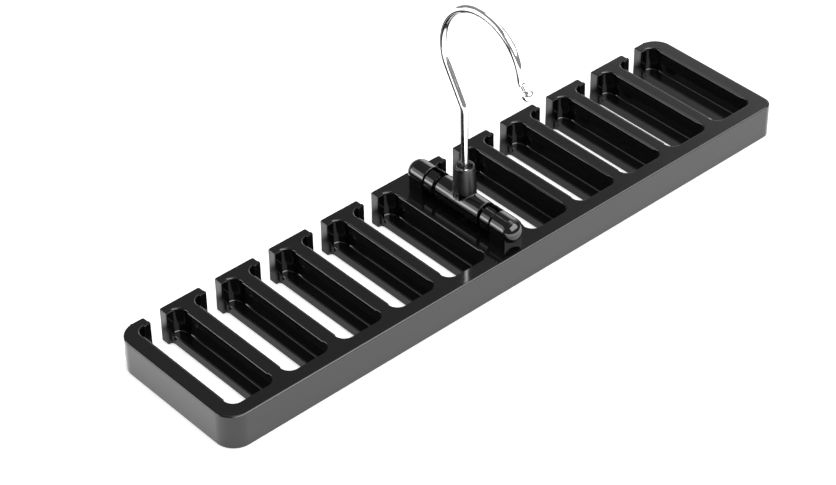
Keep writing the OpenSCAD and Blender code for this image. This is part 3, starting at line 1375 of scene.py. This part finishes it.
@dataclass
class Studio:
    """Floor, backdrop light, lamps and camera."""

    bench: Workbench
    floor_half: float = 6
    frame_width: float = 0.006
    floor_colour: tuple[float, float, float] = (0.84, 0.84, 0.84)
    azimuth: float = -41.36
    elevation: float = 38.39
    roll: float = -1.0
    focal_pixels: float = 2534.98
    target: tuple[float, float, float] = (0, 2.9, 16.2)
    offset: tuple[float, float] = (17.39, -13.58)
    distance: float = 1050.92
    lamps: tuple[Lamp, ...] = (
        Lamp("overhead_box", (0.35, -0.15, 1.5), (1.1, 1.1), 19),
        Lamp("side_box", (-1.1, 0.95, 1.05), (0.7, 1.0), 8),
        Lamp("front_box", (-0.6, -1.6, 1.3), (1.2, 0.8), 8),
    )
    panels: tuple[Panel, ...] = (
        Panel(azimuth=-54, elevation=4, width=46, height=18, strength=8.5, soft=0.15),
        Panel(azimuth=-54, elevation=23, width=46, height=22, strength=2.2, soft=0.2),
        Panel(azimuth=168, elevation=48, width=70, height=40, strength=6.5, soft=0.15),
        Panel(azimuth=85, elevation=70, width=50, height=22, strength=3),
        Panel(azimuth=72, elevation=38, width=30, height=30, strength=0.9, soft=0.5),
        Panel(azimuth=56, elevation=14, width=28, height=34, strength=2.2, soft=0.4),
    )
    dim_room: float = 0.28
    soft_fill: float = 0.25
    floor_glow: float = 0.55
    floor_roughness: float = 0.8
    sensor_width: float = 36
    clip: tuple[float, float] = (0.01, 50)
    mirrored_floor: float = 1.0
    # The fields from here on paint shade and light into the floor for reflected rays only: a painted shadow under and
    # behind the comb and a painted light patch in front of it.
    mouth_reach: float = 0.0096
    shaded_floor: float = 0.6
    shaded_reach: tuple[float, float] = (0.006, 0.016)
    shaded_rest: float = 0.03
    back_start: float = 0.034
    back_end: float = 0.062
    back_reach: tuple[float, float] = (0.035, 0.055)
    back_far: tuple[float, float] = (0.11, 0.15)
    back_rest: float = 0.03
    front_start: float = 0.065
    front_end: float = 0.09
    front_glow: float = 1.8

    def under_comb(self, shading: Shading) -> Signal:
        """Finds the part of the floor that lies under the comb, where a shadow is painted for reflected rays.

        Args:
            shading: The floor's nodes.

        Returns:
            1 under the comb and 0 beside it.
        """
        low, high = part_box("spine_rail")[0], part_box("end_frame_right")[1]
        place = shading.place()
        inside: Signal | float = 1.0
        for way, edge in (((-1, 0, 0), -low.x), ((1, 0, 0), high.x), ((0, -1, 0), -low.y),
                          ((0, 1, 0), high.y + self.mouth_reach)):
            inside = shading.fade(shading.along(place, way), edge, edge - self.frame_width) * inside
        return inside

    def floor(self) -> None:
        """Lays the pale floor under the comb, with a painted shadow under and behind the comb and painted light in
        front of it, both seen only in reflections.
        """
        self.bench.clear()
        low = min(node_box("spine_rail")[0].z, 0) * MM
        bpy.ops.mesh.primitive_plane_add(size=2 * self.floor_half, location=(0, 0, low))
        floor = bpy.context.object
        floor.name = "floor"
        self.bench.settle()
        material = bpy.data.materials.new("pale_floor")
        shading = Shading(material)
        rays = shading.node("ShaderNodeLightPath", output="Is Camera Ray") * self.floor_glow
        mirrored = shading.node("ShaderNodeLightPath", output="Is Glossy Ray")
        seen_through = shading.node("ShaderNodeLightPath", output="Is Transmission Ray")
        # Painted shadow: under the comb, reflected rays see a black floor that barely glows.
        shaded = self.under_comb(shading)
        reach = shading.node("ShaderNodeLightPath", output="Ray Length")
        # Painted shade behind the comb for reflected rays, which fades out further back and for short rays.
        backward = shading.along(shading.place(), (0, 1, 0))
        painted_back_shade = (shading.fade(backward, self.back_start, self.back_end)
                  * shading.fade(backward, *self.back_far, 1, 0) * shading.fade(reach, *self.back_reach))
        # Glow left in the painted shadow: more for short reflected rays, nearly none for long ones.
        painted_shadow_glow = shading.fade(reach, *self.shaded_reach, self.shaded_floor, self.shaded_rest)
        # The floor's colour turns black for reflected rays in the painted shadow and the painted back shade.
        colour = shading.blend(mirrored * shaded.at_least(painted_back_shade), self.floor_colour, (0, 0, 0))
        # Painted light: the floor in front of the comb glows more, for reflected rays only.
        ahead = shading.fade(shading.along(shading.place(), (0, -1, 0)), self.front_start, self.front_end,
                             0, self.front_glow)
        open_floor = (1 - painted_back_shade) * self.mirrored_floor + painted_back_shade * self.back_rest + ahead
        strength = mirrored * ((1 - shaded) * open_floor + shaded * painted_shadow_glow)
        shading.close(shading.node("ShaderNodeBsdfPrincipled", None, {
            "Base Color": colour, "Roughness": self.floor_roughness, "Specular IOR Level": 0.0,
            "Emission Color": (1, 1, 1, 1), "Emission Strength": rays + seen_through + strength}))
        floor.data.materials.append(material)

    def world(self) -> None:
        """Lights the room round the object."""
        world = bpy.data.worlds.new("studio")
        bpy.context.scene.world = world
        shading = Shading(world)
        shown, mirrored, seen_through = (
            shading.node("ShaderNodeLightPath", output=name)
            for name in ("Is Camera Ray", "Is Glossy Ray", "Is Transmission Ray"))
        way = shading.node("ShaderNodeTexCoord", output="Generated")
        room: Signal | float = self.dim_room
        for panel in self.panels:
            room = panel.shine(shading, way) + room
        shown = shown.at_least(seen_through)
        strength = shown + (1 - shown) * (mirrored * room + (1 - mirrored) * self.soft_fill)
        shading.close(shading.node("ShaderNodeBackground", None, {
            "Color": (1, 1, 1, 1), "Strength": strength}), "ShaderNodeOutputWorld")

    def camera(self) -> None:
        """Sets the camera at the photograph's viewing angle."""
        data = bpy.data.cameras.new("camera")
        data.sensor_width = self.sensor_width
        data.lens = self.focal_pixels / PHOTO_WIDTH * data.sensor_width
        data.clip_start, data.clip_end = self.clip
        camera = bpy.data.objects.new("camera", data)
        bpy.context.scene.collection.objects.link(camera)
        turn = (Matrix.Rotation(math.radians(self.azimuth), 4, "Z")
                @ Matrix.Rotation(math.pi / 2 - math.radians(self.elevation), 4, "X")
                @ Matrix.Rotation(math.radians(self.roll), 4, "Z"))
        right, down = self.offset
        place = Vector(self.target) + turn.to_3x3() @ Vector((-right, down, self.distance))
        camera.matrix_world = Matrix.Translation(place * MM) @ turn
        bpy.context.scene.camera = camera

    def build(self) -> None:
        """Sets up everything round the object."""
        bpy.context.scene.view_settings.view_transform = "Standard"
        self.camera()
        self.floor()
        self.world()
        for lamp in self.lamps:
            lamp.hang()
        LOG.info("studio: floor, %d lamps and camera", len(self.lamps))


def main() -> None:
    """Builds the hanger and its studio."""
    logging.basicConfig(level=logging.INFO, format="%(name)s: %(message)s")
    bench = Workbench()
    plastic, chrome, zinc = GlossPlastic().make(), BrightChrome().make(), ZincSteel().make()
    Studio(bench).build()
    Comb(bench, plastic).build()
    Pivot(bench, plastic).build()
    Yoke(bench).build()
    WireHook(bench, chrome, zinc).build()


if __name__ == "__main__":
    main()
